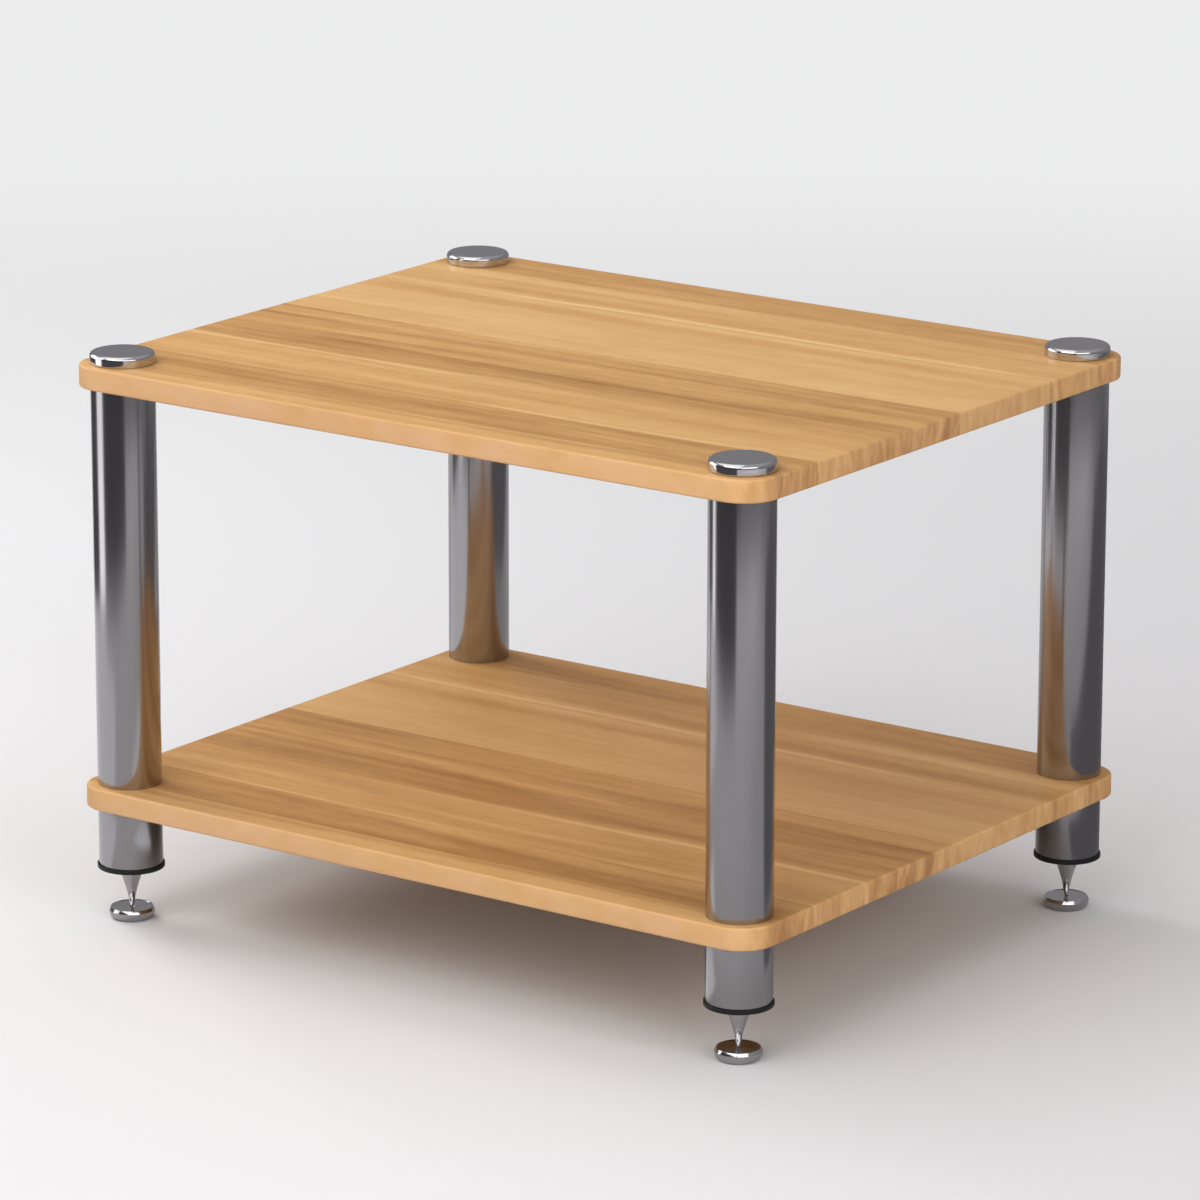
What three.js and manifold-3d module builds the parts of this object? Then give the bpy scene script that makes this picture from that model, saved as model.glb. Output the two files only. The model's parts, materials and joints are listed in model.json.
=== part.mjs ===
// Audio equipment rack: two laminated boards on four tubular steel columns.
// Studs pull each column together through the boards, and threaded spikes in floor pads level it.
// Lengths are in millimetres, +Z is up, and the origin is on the floor under the rack's middle.
// The long open side at -Y is the front.

import * as THREE from "three";
import { mergeVertices } from "three/addons/utils/BufferGeometryUtils.js";
import Module from "manifold-3d";

const wasm = await Module();
wasm.setup();

// Boards
const BOARD_WIDTH = 650;
const BOARD_DEPTH = 525;
const BOARD_THICKNESS = 18;
const BOARD_CORNER_RADIUS = 28;
const BOARD_EDGE_RADIUS = 2;
const COLUMN_INSET = 32.3;

// Widths of the boards' glued staves, from the front edge on. The last stave fills what is left.
const STAVE_WIDTHS = [27.5, 53, 70, 45, 77, 128, 70];

// Columns
const TUBE_DIAMETER = 50.8;
const TUBE_WALL = 1.5;
const UPPER_TUBE_LENGTH = 322;
const LOWER_TUBE_LENGTH = 48;

// Threaded inserts in the tube ends, and the studs that join them
const INSERT_THICKNESS = 12;
const STUD_DIAMETER = 8;
const STUD_OVERREACH = 2;
const BOARD_HOLE_CLEARANCE = 0.5;

// Caps on the top board
const CAP_DIAMETER = 51.6;
const CAP_HEIGHT = 9;
const CAP_SHOULDER_RADIUS = 3.5;
const CAP_FOOT_CHAMFER = 0.6;
const CAP_THREAD_DEPTH = 5.5;

// Black end plugs under the columns
const PLUG_FLANGE_DIAMETER = 53.4;
const PLUG_FLANGE_THICKNESS = 3.5;
const PLUG_FLANGE_EDGE = 0.8;
const PLUG_SPIGOT_LENGTH = 15;
const PLUG_SPIGOT_TAPER = 1.5;

// Steel bushes in the end plugs, which the spikes screw into
const BUSH_DIAMETER = 16;
const BUSH_COLLAR_DIAMETER = 22;
const BUSH_COLLAR_THICKNESS = 2.5;

// Spikes
const SPIKE_THREAD_DIAMETER = 10;
const SPIKE_THREAD_LENGTH = 30;
const SPIKE_THREAD_CHAMFER = 1;
const SPIKE_RELIEF_DIAMETER = 8.4;
const SPIKE_RELIEF_LENGTH = 2;
const SPIKE_SHOULDER_DIAMETER = 20;
const SPIKE_SHOULDER_LAND = 1.5;
const SPIKE_LENGTH = 34;
const SPIKE_TIP_DIAMETER = 1.2;
const SPIKE_NOSE_DIAMETER = 4.4;
const SPIKE_NOSE_HEIGHT = 5;
const SPIKE_WAIST_DIAMETER = 5.6;
const SPIKE_WAIST_HEIGHT = 13.5;

// Floor pads and their liners
const PAD_HEIGHT = 9.5;
const PAD_DIAMETER = 36.4;
const PAD_RIM_HEIGHT = 7;
const PAD_BEVEL_WIDTH = 1.4;
const PAD_BASE_DIAMETER = 29;
const PAD_LIP_WIDTH = 0.8;
const PAD_DISH_DEPTH = 0.5;
const PAD_DIMPLE_DIAMETER = 4.6;
const PAD_DIMPLE_DEPTH = 1;
const LINER_DIAMETER = 26;
const LINER_THICKNESS = 1;
const LINER_PROUD = 0.4;

// Clearances between pieces, and the overrun of every cut
const FIT_GAP = 0.3;
const RUNNING_GAP = 0.3;
const OVERRUN = 1;

// Facets
const FULL_TURN_STEPS = 28;
const SPIKE_TURN_STEPS = 16;
const INNER_TURN_STEPS = 12;
const CORNER_STEPS = 8;
const EDGE_STEPS = 2;
const SHOULDER_STEPS = 3;
const FLARE_STEPS = 7;
const BELLY_STEPS = 3;

const HALF = 1 / 2;
const QUARTER_TURN = Math.PI / 2;
const SMALLEST = 1e-4;

// Columns stand at the four corners, named from the front
const SIDES = { left: -1, right: 1 };
const ENDS = { front: -1, back: 1 };
const columnX = BOARD_WIDTH * HALF - COLUMN_INSET;
const columnY = BOARD_DEPTH * HALF - COLUMN_INSET;
const columns = Object.entries(ENDS).flatMap(([end, endSign]) =>
  Object.entries(SIDES).map(([side, sideSign]) => ({
    corner: `${end}_${side}`,
    x: sideSign * columnX,
    y: endSign * columnY,
  })));

// Heights of the stack, from the floor up
const dishFloorZ = PAD_HEIGHT - PAD_DISH_DEPTH;
const dimpleFloorZ = dishFloorZ - PAD_DIMPLE_DEPTH;
const spikeTipZ = dimpleFloorZ + RUNNING_GAP;
const spikeShoulderZ = spikeTipZ + SPIKE_LENGTH;
const plugBottomZ = spikeShoulderZ + RUNNING_GAP;
const lowerTubeBottomZ = plugBottomZ + PLUG_FLANGE_THICKNESS;
const lowerTubeTopZ = lowerTubeBottomZ + LOWER_TUBE_LENGTH;
const lowerBoardTopZ = lowerTubeTopZ + BOARD_THICKNESS;
const upperTubeTopZ = lowerBoardTopZ + UPPER_TUBE_LENGTH;
const topBoardTopZ = upperTubeTopZ + BOARD_THICKNESS;

// Radii that two pieces share
const tubeRadius = TUBE_DIAMETER * HALF;
const tubeBoreRadius = tubeRadius - TUBE_WALL;
const studRadius = STUD_DIAMETER * HALF;
const studBoreRadius = studRadius + FIT_GAP;
const bushRadius = BUSH_DIAMETER * HALF;
const bushCollarRadius = BUSH_COLLAR_DIAMETER * HALF;
const spikeThreadRadius = SPIKE_THREAD_DIAMETER * HALF;

// Finishes
const material = (color, roughness, metalness) => new THREE.MeshStandardMaterial({ color, roughness, metalness });
const laminatedWood = () => material(0xd9a76c, 0.45, 0);
const polishedSteel = () => material(0x8f8f92, 0.12, 1);
const plainSteel = () => material(0x9a9a98, 0.35, 1);
const blackNylon = () => material(0x141415, 0.5, 0);
const darkRubber = () => material(0x222224, 0.85, 0);

// Merges shared vertices and leaves out triangles that have shrunk to a line.
function welded(geometry) {
  geometry.deleteAttribute("normal");
  geometry.deleteAttribute("uv");
  const merged = mergeVertices(geometry, SMALLEST);
  const index = merged.getIndex().array;
  const kept = [];
  for (let i = 0; i < index.length; i += 3) {
    const [a, b, c] = index.slice(i, i + 3);
    if (a !== b && b !== c && c !== a) kept.push(a, b, c);
  }
  merged.setIndex(kept);
  return merged;
}

// Turns an outline of radii and heights about the Z axis.
function turned(outline, steps = FULL_TURN_STEPS) {
  const points = outline.map(([radius, height]) => new THREE.Vector2(radius, height));
  return welded(new THREE.LatheGeometry(points, steps).rotateX(QUARTER_TURN));
}

// A ring or a bored disc: the outline runs up the outside and closes down the bore.
function ring(outerRadius, boreRadius, bottomZ, topZ, steps) {
  return turned([
    [boreRadius, bottomZ],
    [outerRadius, bottomZ],
    [outerRadius, topZ],
    [boreRadius, topZ],
    [boreRadius, bottomZ],
  ], steps);
}

// A plain rod on the Z axis.
function rod(radius, bottomZ, topZ, steps) {
  return turned([
    [0, bottomZ],
    [radius, bottomZ],
    [radius, topZ],
    [0, topZ],
  ], steps);
}

// Points on a curve between two outline points, both ends left out.
function between(curve, steps) {
  return curve.getPoints(steps).slice(1, -1).map((point) => [point.x, point.y]);
}

function toManifold(geometry) {
  const vertProperties = Float32Array.from(geometry.getAttribute("position").array);
  const triVerts = Uint32Array.from(geometry.getIndex().array);
  return new wasm.Manifold(new wasm.Mesh({ numProp: 3, vertProperties, triVerts }));
}

function toGeometry(manifold) {
  const mesh = manifold.getMesh();
  const geometry = new THREE.BufferGeometry();
  geometry.setAttribute("position", new THREE.BufferAttribute(mesh.vertProperties, mesh.numProp));
  geometry.setIndex(new THREE.BufferAttribute(mesh.triVerts, 1));
  return geometry;
}

// Board: a rounded rectangle with softened edges, drilled for a stud on each column's axis.
function boardOutline() {
  const x = BOARD_WIDTH * HALF - BOARD_EDGE_RADIUS;
  const y = BOARD_DEPTH * HALF - BOARD_EDGE_RADIUS;
  const radius = BOARD_CORNER_RADIUS - BOARD_EDGE_RADIUS;
  const outline = new THREE.Shape();
  outline.absarc(x - radius, y - radius, radius, 0, QUARTER_TURN);
  outline.absarc(radius - x, y - radius, radius, QUARTER_TURN, 2 * QUARTER_TURN);
  outline.absarc(radius - x, radius - y, radius, 2 * QUARTER_TURN, 3 * QUARTER_TURN);
  outline.absarc(x - radius, radius - y, radius, 3 * QUARTER_TURN, 4 * QUARTER_TURN);
  outline.closePath();
  return outline;
}

function boardBlank() {
  const slab = new THREE.ExtrudeGeometry(boardOutline(), {
    depth: BOARD_THICKNESS - 2 * BOARD_EDGE_RADIUS,
    curveSegments: CORNER_STEPS,
    bevelThickness: BOARD_EDGE_RADIUS,
    bevelSize: BOARD_EDGE_RADIUS,
    bevelSegments: EDGE_STEPS,
  });
  let blank = toManifold(welded(slab.translate(0, 0, BOARD_EDGE_RADIUS)));
  const holeRadius = studRadius + BOARD_HOLE_CLEARANCE;
  for (const { x, y } of columns) {
    const drill = rod(holeRadius, -OVERRUN, BOARD_THICKNESS + OVERRUN, INNER_TURN_STEPS);
    blank = blank.subtract(toManifold(drill.translate(x, y, 0)));
  }
  return blank;
}

// Places of the glue lines across the board, between the first stave and the last.
function glueLines() {
  let y = -BOARD_DEPTH * HALF;
  return STAVE_WIDTHS.map((width) => {
    y += width;
    return y;
  });
}

// The board is glued up from staves that run along its width, and each keeps its own faces.
function boardSolid() {
  const blank = boardBlank();
  const outerY = BOARD_DEPTH * HALF + OVERRUN;
  const lines = [-outerY, ...glueLines(), outerY];
  const staves = lines.slice(1).map((backY, i) => {
    const frontY = lines[i];
    const strip = new THREE.BoxGeometry(BOARD_WIDTH + OVERRUN, backY - frontY, BOARD_THICKNESS + OVERRUN);
    strip.translate(0, (frontY + backY) * HALF, BOARD_THICKNESS * HALF);
    return blank.intersect(toManifold(welded(strip))).asOriginal();
  });
  return toGeometry(staves.reduce((board, stave) => board.add(stave)));
}

// Cap: a polished disc with a rounded shoulder, and a blind threaded hole below for its stud.
function capSolid() {
  const radius = CAP_DIAMETER * HALF;
  const topRadius = radius - CAP_SHOULDER_RADIUS;
  const shoulderZ = CAP_HEIGHT - CAP_SHOULDER_RADIUS;
  const shoulder = new THREE.EllipseCurve(topRadius, shoulderZ, CAP_SHOULDER_RADIUS, CAP_SHOULDER_RADIUS,
    0, QUARTER_TURN);
  return turned([
    [0, CAP_THREAD_DEPTH + FIT_GAP],
    [studBoreRadius, CAP_THREAD_DEPTH + FIT_GAP],
    [studBoreRadius, 0],
    [radius - CAP_FOOT_CHAMFER, 0],
    [radius, CAP_FOOT_CHAMFER],
    [radius, shoulderZ],
    ...between(shoulder, SHOULDER_STEPS),
    [topRadius, CAP_HEIGHT],
    [0, CAP_HEIGHT],
  ]);
}

// Insert: a disc fixed in a tube's end, with a threaded hole for a stud.
function insertSolid() {
  return ring(tubeBoreRadius - FIT_GAP, studBoreRadius, 0, INSERT_THICKNESS, INNER_TURN_STEPS);
}

// End plug: a flange that closes the tube's foot, a tapered spigot inside it and a seat for the bush.
function endPlugSolid() {
  const flangeRadius = PLUG_FLANGE_DIAMETER * HALF;
  const spigotRadius = tubeBoreRadius - FIT_GAP;
  const seatRadius = bushRadius + FIT_GAP;
  const topZ = PLUG_FLANGE_THICKNESS + PLUG_SPIGOT_LENGTH;
  return turned([
    [seatRadius, 0],
    [flangeRadius - PLUG_FLANGE_EDGE, 0],
    [flangeRadius, PLUG_FLANGE_EDGE],
    [flangeRadius, PLUG_FLANGE_THICKNESS],
    [spigotRadius, PLUG_FLANGE_THICKNESS],
    [spigotRadius, topZ - PLUG_SPIGOT_TAPER],
    [spigotRadius - PLUG_SPIGOT_TAPER, topZ],
    [seatRadius, topZ],
    [seatRadius, 0],
  ]);
}

// Bush: a steel sleeve in the end plug, with a collar that sits on the spigot and takes the load.
function bushSolid() {
  const boreRadius = spikeThreadRadius + FIT_GAP;
  const seatZ = PLUG_FLANGE_THICKNESS + PLUG_SPIGOT_LENGTH;
  return turned([
    [boreRadius, 0],
    [bushRadius, 0],
    [bushRadius, seatZ],
    [bushCollarRadius, seatZ],
    [bushCollarRadius, seatZ + BUSH_COLLAR_THICKNESS],
    [boreRadius, seatZ + BUSH_COLLAR_THICKNESS],
    [boreRadius, 0],
  ], INNER_TURN_STEPS);
}

// Spike: a threaded shank above its shoulder, and below it a flare that sweeps in to a pointed nose.
// Its outline is drawn from the tip up, with the shoulder's face at zero.
function spikeSolid() {
  const shoulderRadius = SPIKE_SHOULDER_DIAMETER * HALF;
  const tipRadius = SPIKE_TIP_DIAMETER * HALF;
  const reliefRadius = SPIKE_RELIEF_DIAMETER * HALF;
  const noseRadius = SPIKE_NOSE_DIAMETER * HALF;
  const noseZ = SPIKE_NOSE_HEIGHT - SPIKE_LENGTH;
  const flare = new THREE.QuadraticBezierCurve(
    new THREE.Vector2(noseRadius, noseZ),
    new THREE.Vector2(SPIKE_WAIST_DIAMETER * HALF, SPIKE_WAIST_HEIGHT - SPIKE_LENGTH),
    new THREE.Vector2(shoulderRadius, -SPIKE_SHOULDER_LAND),
  );
  return turned([
    [0, -SPIKE_LENGTH],
    [tipRadius, -SPIKE_LENGTH],
    [noseRadius, noseZ],
    ...between(flare, FLARE_STEPS),
    [shoulderRadius, -SPIKE_SHOULDER_LAND],
    [shoulderRadius, 0],
    [reliefRadius, 0],
    [reliefRadius, SPIKE_RELIEF_LENGTH],
    [spikeThreadRadius, SPIKE_RELIEF_LENGTH + SPIKE_THREAD_CHAMFER],
    [spikeThreadRadius, SPIKE_THREAD_LENGTH - SPIKE_THREAD_CHAMFER],
    [spikeThreadRadius - SPIKE_THREAD_CHAMFER, SPIKE_THREAD_LENGTH],
    [0, SPIKE_THREAD_LENGTH],
  ], SPIKE_TURN_STEPS);
}

// Pad: a bellied disc with a bevelled rim, a shallow dish, a dimple for the point and a recess below.
function padSolid() {
  const rimRadius = PAD_DIAMETER * HALF;
  const topRadius = rimRadius - PAD_BEVEL_WIDTH;
  const baseRadius = PAD_BASE_DIAMETER * HALF;
  const recessRadius = LINER_DIAMETER * HALF + FIT_GAP;
  const belly = new THREE.EllipseCurve(baseRadius, PAD_RIM_HEIGHT, rimRadius - baseRadius,
    PAD_RIM_HEIGHT - LINER_PROUD, -QUARTER_TURN, 0);
  return turned([
    [0, LINER_THICKNESS],
    [recessRadius, LINER_THICKNESS],
    [recessRadius, LINER_PROUD],
    [baseRadius, LINER_PROUD],
    ...between(belly, BELLY_STEPS),
    [rimRadius, PAD_RIM_HEIGHT],
    [topRadius, PAD_HEIGHT],
    [topRadius - PAD_LIP_WIDTH, PAD_HEIGHT],
    [topRadius - PAD_LIP_WIDTH - PAD_DISH_DEPTH, dishFloorZ],
    [PAD_DIMPLE_DIAMETER * HALF, dishFloorZ],
    [SPIKE_TIP_DIAMETER * HALF + 2 * RUNNING_GAP, dimpleFloorZ],
    [0, dimpleFloorZ],
  ]);
}

const rack = new THREE.Group();

function place(name, geometry, finish, x, y, z) {
  const mesh = new THREE.Mesh(geometry, finish);
  mesh.name = name;
  mesh.position.set(x, y, z);
  rack.add(mesh);
}

place("top_board", boardSolid(), laminatedWood(), 0, 0, upperTubeTopZ);
place("lower_board", boardSolid(), laminatedWood(), 0, 0, lowerTubeTopZ);

for (const { corner, x, y } of columns) {
  const add = (name, geometry, finish, z) => place(`${name}_${corner}`, geometry, finish, x, y, z);
  const insertReach = INSERT_THICKNESS + STUD_OVERREACH;

  add("top_cap", capSolid(), polishedSteel(), topBoardTopZ);
  const capStudLength = insertReach + BOARD_THICKNESS + CAP_THREAD_DEPTH;
  add("cap_stud", rod(studRadius, 0, capStudLength, INNER_TURN_STEPS), plainSteel(), upperTubeTopZ - insertReach);

  add("upper_tube", ring(tubeRadius, tubeBoreRadius, 0, UPPER_TUBE_LENGTH), polishedSteel(), lowerBoardTopZ);
  add("upper_tube_top_insert", insertSolid(), plainSteel(), upperTubeTopZ - INSERT_THICKNESS);
  add("upper_tube_bottom_insert", insertSolid(), plainSteel(), lowerBoardTopZ);

  const joiningStudLength = 2 * insertReach + BOARD_THICKNESS;
  add("joining_stud", rod(studRadius, 0, joiningStudLength, INNER_TURN_STEPS), plainSteel(),
    lowerTubeTopZ - insertReach);

  add("lower_tube", ring(tubeRadius, tubeBoreRadius, 0, LOWER_TUBE_LENGTH), polishedSteel(), lowerTubeBottomZ);
  add("lower_tube_insert", insertSolid(), plainSteel(), lowerTubeTopZ - INSERT_THICKNESS);

  add("end_plug", endPlugSolid(), blackNylon(), plugBottomZ);
  add("spike_bush", bushSolid(), plainSteel(), plugBottomZ);
  add("spike", spikeSolid(), polishedSteel(), spikeShoulderZ);
  add("floor_pad", padSolid(), polishedSteel(), 0);
  add("pad_liner", rod(LINER_DIAMETER * HALF, 0, LINER_THICKNESS, INNER_TURN_STEPS), darkRubber(), 0);
}

export default rack;
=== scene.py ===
# %% [markdown]
# Audio equipment rack
#
# Two laminated boards are clamped between polished steel tubes. A turned cap closes each column on
# top, and below it a spike in a black plug stands on a floor pad. The rack's construction is a
# fixed model with real sizes, so this lesson loads it first and takes every size and place from it.
# Each piece is then made finer and given its finish, and nothing is moved or resized.

# %% Load the model
import json
import math

import bpy
from mathutils import Matrix, Vector

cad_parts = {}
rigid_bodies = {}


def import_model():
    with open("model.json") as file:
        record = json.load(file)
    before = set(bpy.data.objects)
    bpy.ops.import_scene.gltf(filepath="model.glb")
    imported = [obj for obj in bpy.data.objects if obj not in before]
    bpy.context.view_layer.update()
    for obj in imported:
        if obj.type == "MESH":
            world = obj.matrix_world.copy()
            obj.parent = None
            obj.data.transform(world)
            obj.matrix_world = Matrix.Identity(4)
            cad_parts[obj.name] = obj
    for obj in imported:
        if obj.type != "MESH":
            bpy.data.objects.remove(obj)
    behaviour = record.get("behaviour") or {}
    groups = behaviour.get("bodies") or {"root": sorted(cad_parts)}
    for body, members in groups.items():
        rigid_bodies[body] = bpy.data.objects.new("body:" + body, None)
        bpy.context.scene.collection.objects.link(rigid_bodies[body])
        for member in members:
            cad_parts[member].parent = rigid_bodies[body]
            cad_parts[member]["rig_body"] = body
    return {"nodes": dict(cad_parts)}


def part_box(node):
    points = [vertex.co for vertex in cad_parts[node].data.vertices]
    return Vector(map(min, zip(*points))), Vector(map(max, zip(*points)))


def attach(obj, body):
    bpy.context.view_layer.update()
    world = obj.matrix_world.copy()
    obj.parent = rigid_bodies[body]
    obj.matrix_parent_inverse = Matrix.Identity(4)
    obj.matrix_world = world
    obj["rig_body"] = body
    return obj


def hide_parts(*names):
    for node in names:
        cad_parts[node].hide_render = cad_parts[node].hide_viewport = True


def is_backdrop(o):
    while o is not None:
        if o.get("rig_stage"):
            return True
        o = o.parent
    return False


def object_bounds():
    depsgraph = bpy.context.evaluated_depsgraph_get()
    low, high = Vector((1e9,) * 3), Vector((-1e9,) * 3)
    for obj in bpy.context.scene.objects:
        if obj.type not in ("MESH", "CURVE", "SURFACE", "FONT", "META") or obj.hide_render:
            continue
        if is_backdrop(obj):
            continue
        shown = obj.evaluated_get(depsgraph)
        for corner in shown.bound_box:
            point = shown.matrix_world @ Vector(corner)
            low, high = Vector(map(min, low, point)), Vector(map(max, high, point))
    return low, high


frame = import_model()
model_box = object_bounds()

CORNERS = ("front_left", "front_right", "back_left", "back_right")


def axis_of(node):
    """The point under a node's middle: its column's axis for everything that is turned."""
    low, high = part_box(node)
    return Vector(((low.x + high.x) / 2, (low.y + high.y) / 2, 0))


print("size in metres", [round(side, 4) for side in model_box[1] - model_box[0]])

# %% [markdown]
# The camera
#
# A camera could be placed by eye, but then no edge would ever line up with the photograph. Here its
# place was worked out by least squares from the edges of boards and tubes, which gives two angles, a
# distance and a very long lens. The photograph's uprights run parallel, as a shifted lens draws them.
# This plain lens can't follow that, so the outer columns lean by a few pixels at the top. The angles
# are turned into a matrix, one rotation after the other.

# %% Camera
CAMERA_AZIMUTH = math.radians(35.78)
CAMERA_ELEVATION = math.radians(15.05)
CAMERA_ROLL = math.radians(0.1)
CAMERA_DISTANCE = 5.188
CAMERA_TARGET = Vector((-0.0052, 0.0059, 0.255))
CAMERA_LENS = 197.46
SENSOR_WIDTH = 36
CAMERA_REACH = 60


def show(name, data):
    """A new object in the scene, which holds this mesh, lamp or camera."""
    thing = bpy.data.objects.new(name, data)
    bpy.context.scene.collection.objects.link(thing)
    return thing


def stand_camera():
    camera = show("camera", bpy.data.cameras.new("camera"))
    turn = Matrix.Rotation(CAMERA_AZIMUTH, 4, "Z")
    tilt = Matrix.Rotation(math.pi / 2 - CAMERA_ELEVATION, 4, "X")
    roll = Matrix.Rotation(CAMERA_ROLL, 4, "Z")
    aim = turn @ tilt @ roll
    place = CAMERA_TARGET + aim @ Vector((0, 0, CAMERA_DISTANCE))
    camera.matrix_world = Matrix.Translation(place) @ aim
    camera.data.lens = CAMERA_LENS
    camera.data.sensor_width = SENSOR_WIDTH
    camera.data.clip_end = CAMERA_REACH
    bpy.context.scene.camera = camera
    return place


print("camera stands at", [round(value, 3) for value in stand_camera()])

# %% [markdown]
# Writing nodes as sums
#
# Every finish below is a tree of nodes, and so are the shapes that follow a rule. Placing such
# nodes one by one makes long scripts that hide the sums in them. Wrapping a node's output in a
# small class lets Python's own operators add the Math nodes, so 1 - mask is written as just that.

# %% Nodes and wires
class Wire:
    """A node's output, which can be used in a sum."""

    def __init__(self, nodes, socket):
        self.nodes = nodes
        self.socket = socket

    def __add__(self, other):
        return self.nodes.maths("ADD", self, other)

    def __radd__(self, other):
        return self.nodes.maths("ADD", other, self)

    def __sub__(self, other):
        return self.nodes.maths("SUBTRACT", self, other)

    def __rsub__(self, other):
        return self.nodes.maths("SUBTRACT", other, self)

    def __mul__(self, other):
        return self.nodes.maths("MULTIPLY", self, other)

    def __rmul__(self, other):
        return self.nodes.maths("MULTIPLY", other, self)

    def __truediv__(self, other):
        return self.nodes.maths("DIVIDE", self, other)

    def __gt__(self, other):
        return self.nodes.maths("GREATER_THAN", self, other)

    def __lt__(self, other):
        return self.nodes.maths("LESS_THAN", self, other)

    def __abs__(self):
        return self.nodes.maths("ABSOLUTE", self)

    def beside(self, output):
        """Another output of the same node."""
        return Wire(self.nodes, self.socket.node.outputs[output])


class Nodes:
    """Adds nodes to one tree, which starts empty."""

    def __init__(self, tree):
        self.tree = tree
        self.tree.nodes.clear()

    def add(self, kind, settings=None, inputs=None):
        """A new node. Its settings come first, because they decide which sockets it has."""
        node = self.tree.nodes.new(kind)
        for name, value in (settings or {}).items():
            if name == "stops":
                self.set_stops(node.color_ramp, value)
            else:
                setattr(node, name, value)
        for key, value in (inputs or {}).items():
            for wire in value if isinstance(value, list) else [value]:
                self.feed(self.find(node, key), wire)
        shown = [socket for socket in node.outputs if socket.enabled]
        return Wire(self, shown[0]) if shown else node

    def find(self, node, key):
        if isinstance(key, int):
            return node.inputs[key]
        return next(s for s in node.inputs if s.enabled and key in (s.identifier, s.name))

    def feed(self, socket, value):
        if isinstance(value, Wire):
            self.tree.links.new(value.socket, socket)
        else:
            socket.default_value = value

    def set_stops(self, ramp, stops):
        while len(ramp.elements) < len(stops):
            ramp.elements.new(1)
        for element, (position, colour) in zip(ramp.elements, stops):
            element.position = position
            element.color = colour

    def maths(self, operation, *values):
        return self.add("ShaderNodeMath", {"operation": operation}, dict(enumerate(values)))

    def vector(self, x, y, z):
        return self.add("ShaderNodeCombineXYZ", None, {"X": x, "Y": y, "Z": z})

    def split(self, vector):
        x = self.add("ShaderNodeSeparateXYZ", None, {"Vector": vector})
        return x, x.beside("Y"), x.beside("Z")

    def mix(self, factor, first, second):
        """Goes from the first colour to the second as the factor goes from 0 to 1."""
        inputs = {"Factor_Float": factor, "A_Color": first, "B_Color": second}
        return self.add("ShaderNodeMix", {"data_type": "RGBA"}, inputs)

    def step(self, value, start, end):
        """Rises smoothly from 0 to 1 while the value goes from start to end."""
        settings = {"interpolation_type": "SMOOTHSTEP"}
        inputs = {"Value": value, "From Min": start, "From Max": end}
        return self.add("ShaderNodeMapRange", settings, inputs)

    def noise(self, x, y, z, sizes, detail=2, roughness=0.5):
        """Soft noise from 0 to 1 whose patches have about these sizes in metres."""
        place = self.vector(x / sizes[0], y / sizes[1], z / sizes[2])
        inputs = {"Vector": place, "Scale": 1, "Detail": detail, "Roughness": roughness}
        return self.add("ShaderNodeTexNoise", None, inputs)

    def bump(self, height, depth):
        """A surface's small relief: height goes from 0 to 1, and depth is in metres."""
        return self.add("ShaderNodeBump", None, {"Height": height, "Strength": 1, "Distance": depth})


print("nodes can now be written as sums")

# %% [markdown]
# Colours and materials
#
# A colour picker shows a colour as the screen does, but a shader works with the light behind it. A
# screen colour typed straight into a shader would come out too pale, so one function translates it.
# A finish is a function that answers with a surface's colour, roughness, metal and relief.

# %% Colours and materials
def colour(red, green, blue):
    """A colour written as a screen shows it, from 0 to 255, as the light that it stands for."""
    def light(value):
        share = value / 255
        return share / 12.92 if share <= 0.04045 else ((share + 0.055) / 1.055) ** 2.4

    return (light(red), light(green), light(blue), 1)


def empty_material(name):
    """A new material, and the nodes of its empty tree."""
    material = bpy.data.materials.new(name)
    material.use_nodes = True
    return material, Nodes(material.node_tree)


FINISHES = {}


def finish(name, surface):
    """Makes the material for a slot from the surface function's values and wires."""
    material, nodes = empty_material(name)
    shader = nodes.add("ShaderNodeBsdfPrincipled", None, surface(nodes))
    nodes.add("ShaderNodeOutputMaterial", None, {"Surface": shader})
    FINISHES[name] = material
    print(f"{name}: {len(material.node_tree.nodes)} nodes")


print("middle grey is", round(colour(128, 128, 128)[0], 3), "of full light")

# %% [markdown]
# The studio
#
# Polished tubes have no look of their own: they show the room. So the room is built for them, as
# a photographer would build it, and it starts with a plain floor that fades into a pale backdrop.
# Polished steel mirrors that floor, and a floor as pale in the mirror would wash the tubes out. So
# only the camera sees the pale paint, and everything else sees a darker one.

# %% Floor and world
FLOOR_SIZE = 30
FLOOR_COLOUR = colour(226, 225, 225)
MIRRORED_FLOOR_COLOUR = colour(190, 188, 188)
FLOOR_FADE = (0.6, 3.2)
FLOOR_CLOUD = ((0.7, 0.7, 0.7), 4)
FLOOR_ROUGHNESS = 0.6
FLOOR_CLOUD_ROUGHNESS = 0.2
HORIZON_COLOUR = colour(142, 141, 144)
ZENITH_COLOUR = colour(188, 188, 191)
BACKDROP_COLOUR = colour(236, 236, 237)
DOME_RISE = (0.3, 0.95)


def place_of(nodes):
    """Where a point is, in its object: x, y and z."""
    return nodes.split(nodes.add("ShaderNodeTexCoord").beside("Object"))


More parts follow.
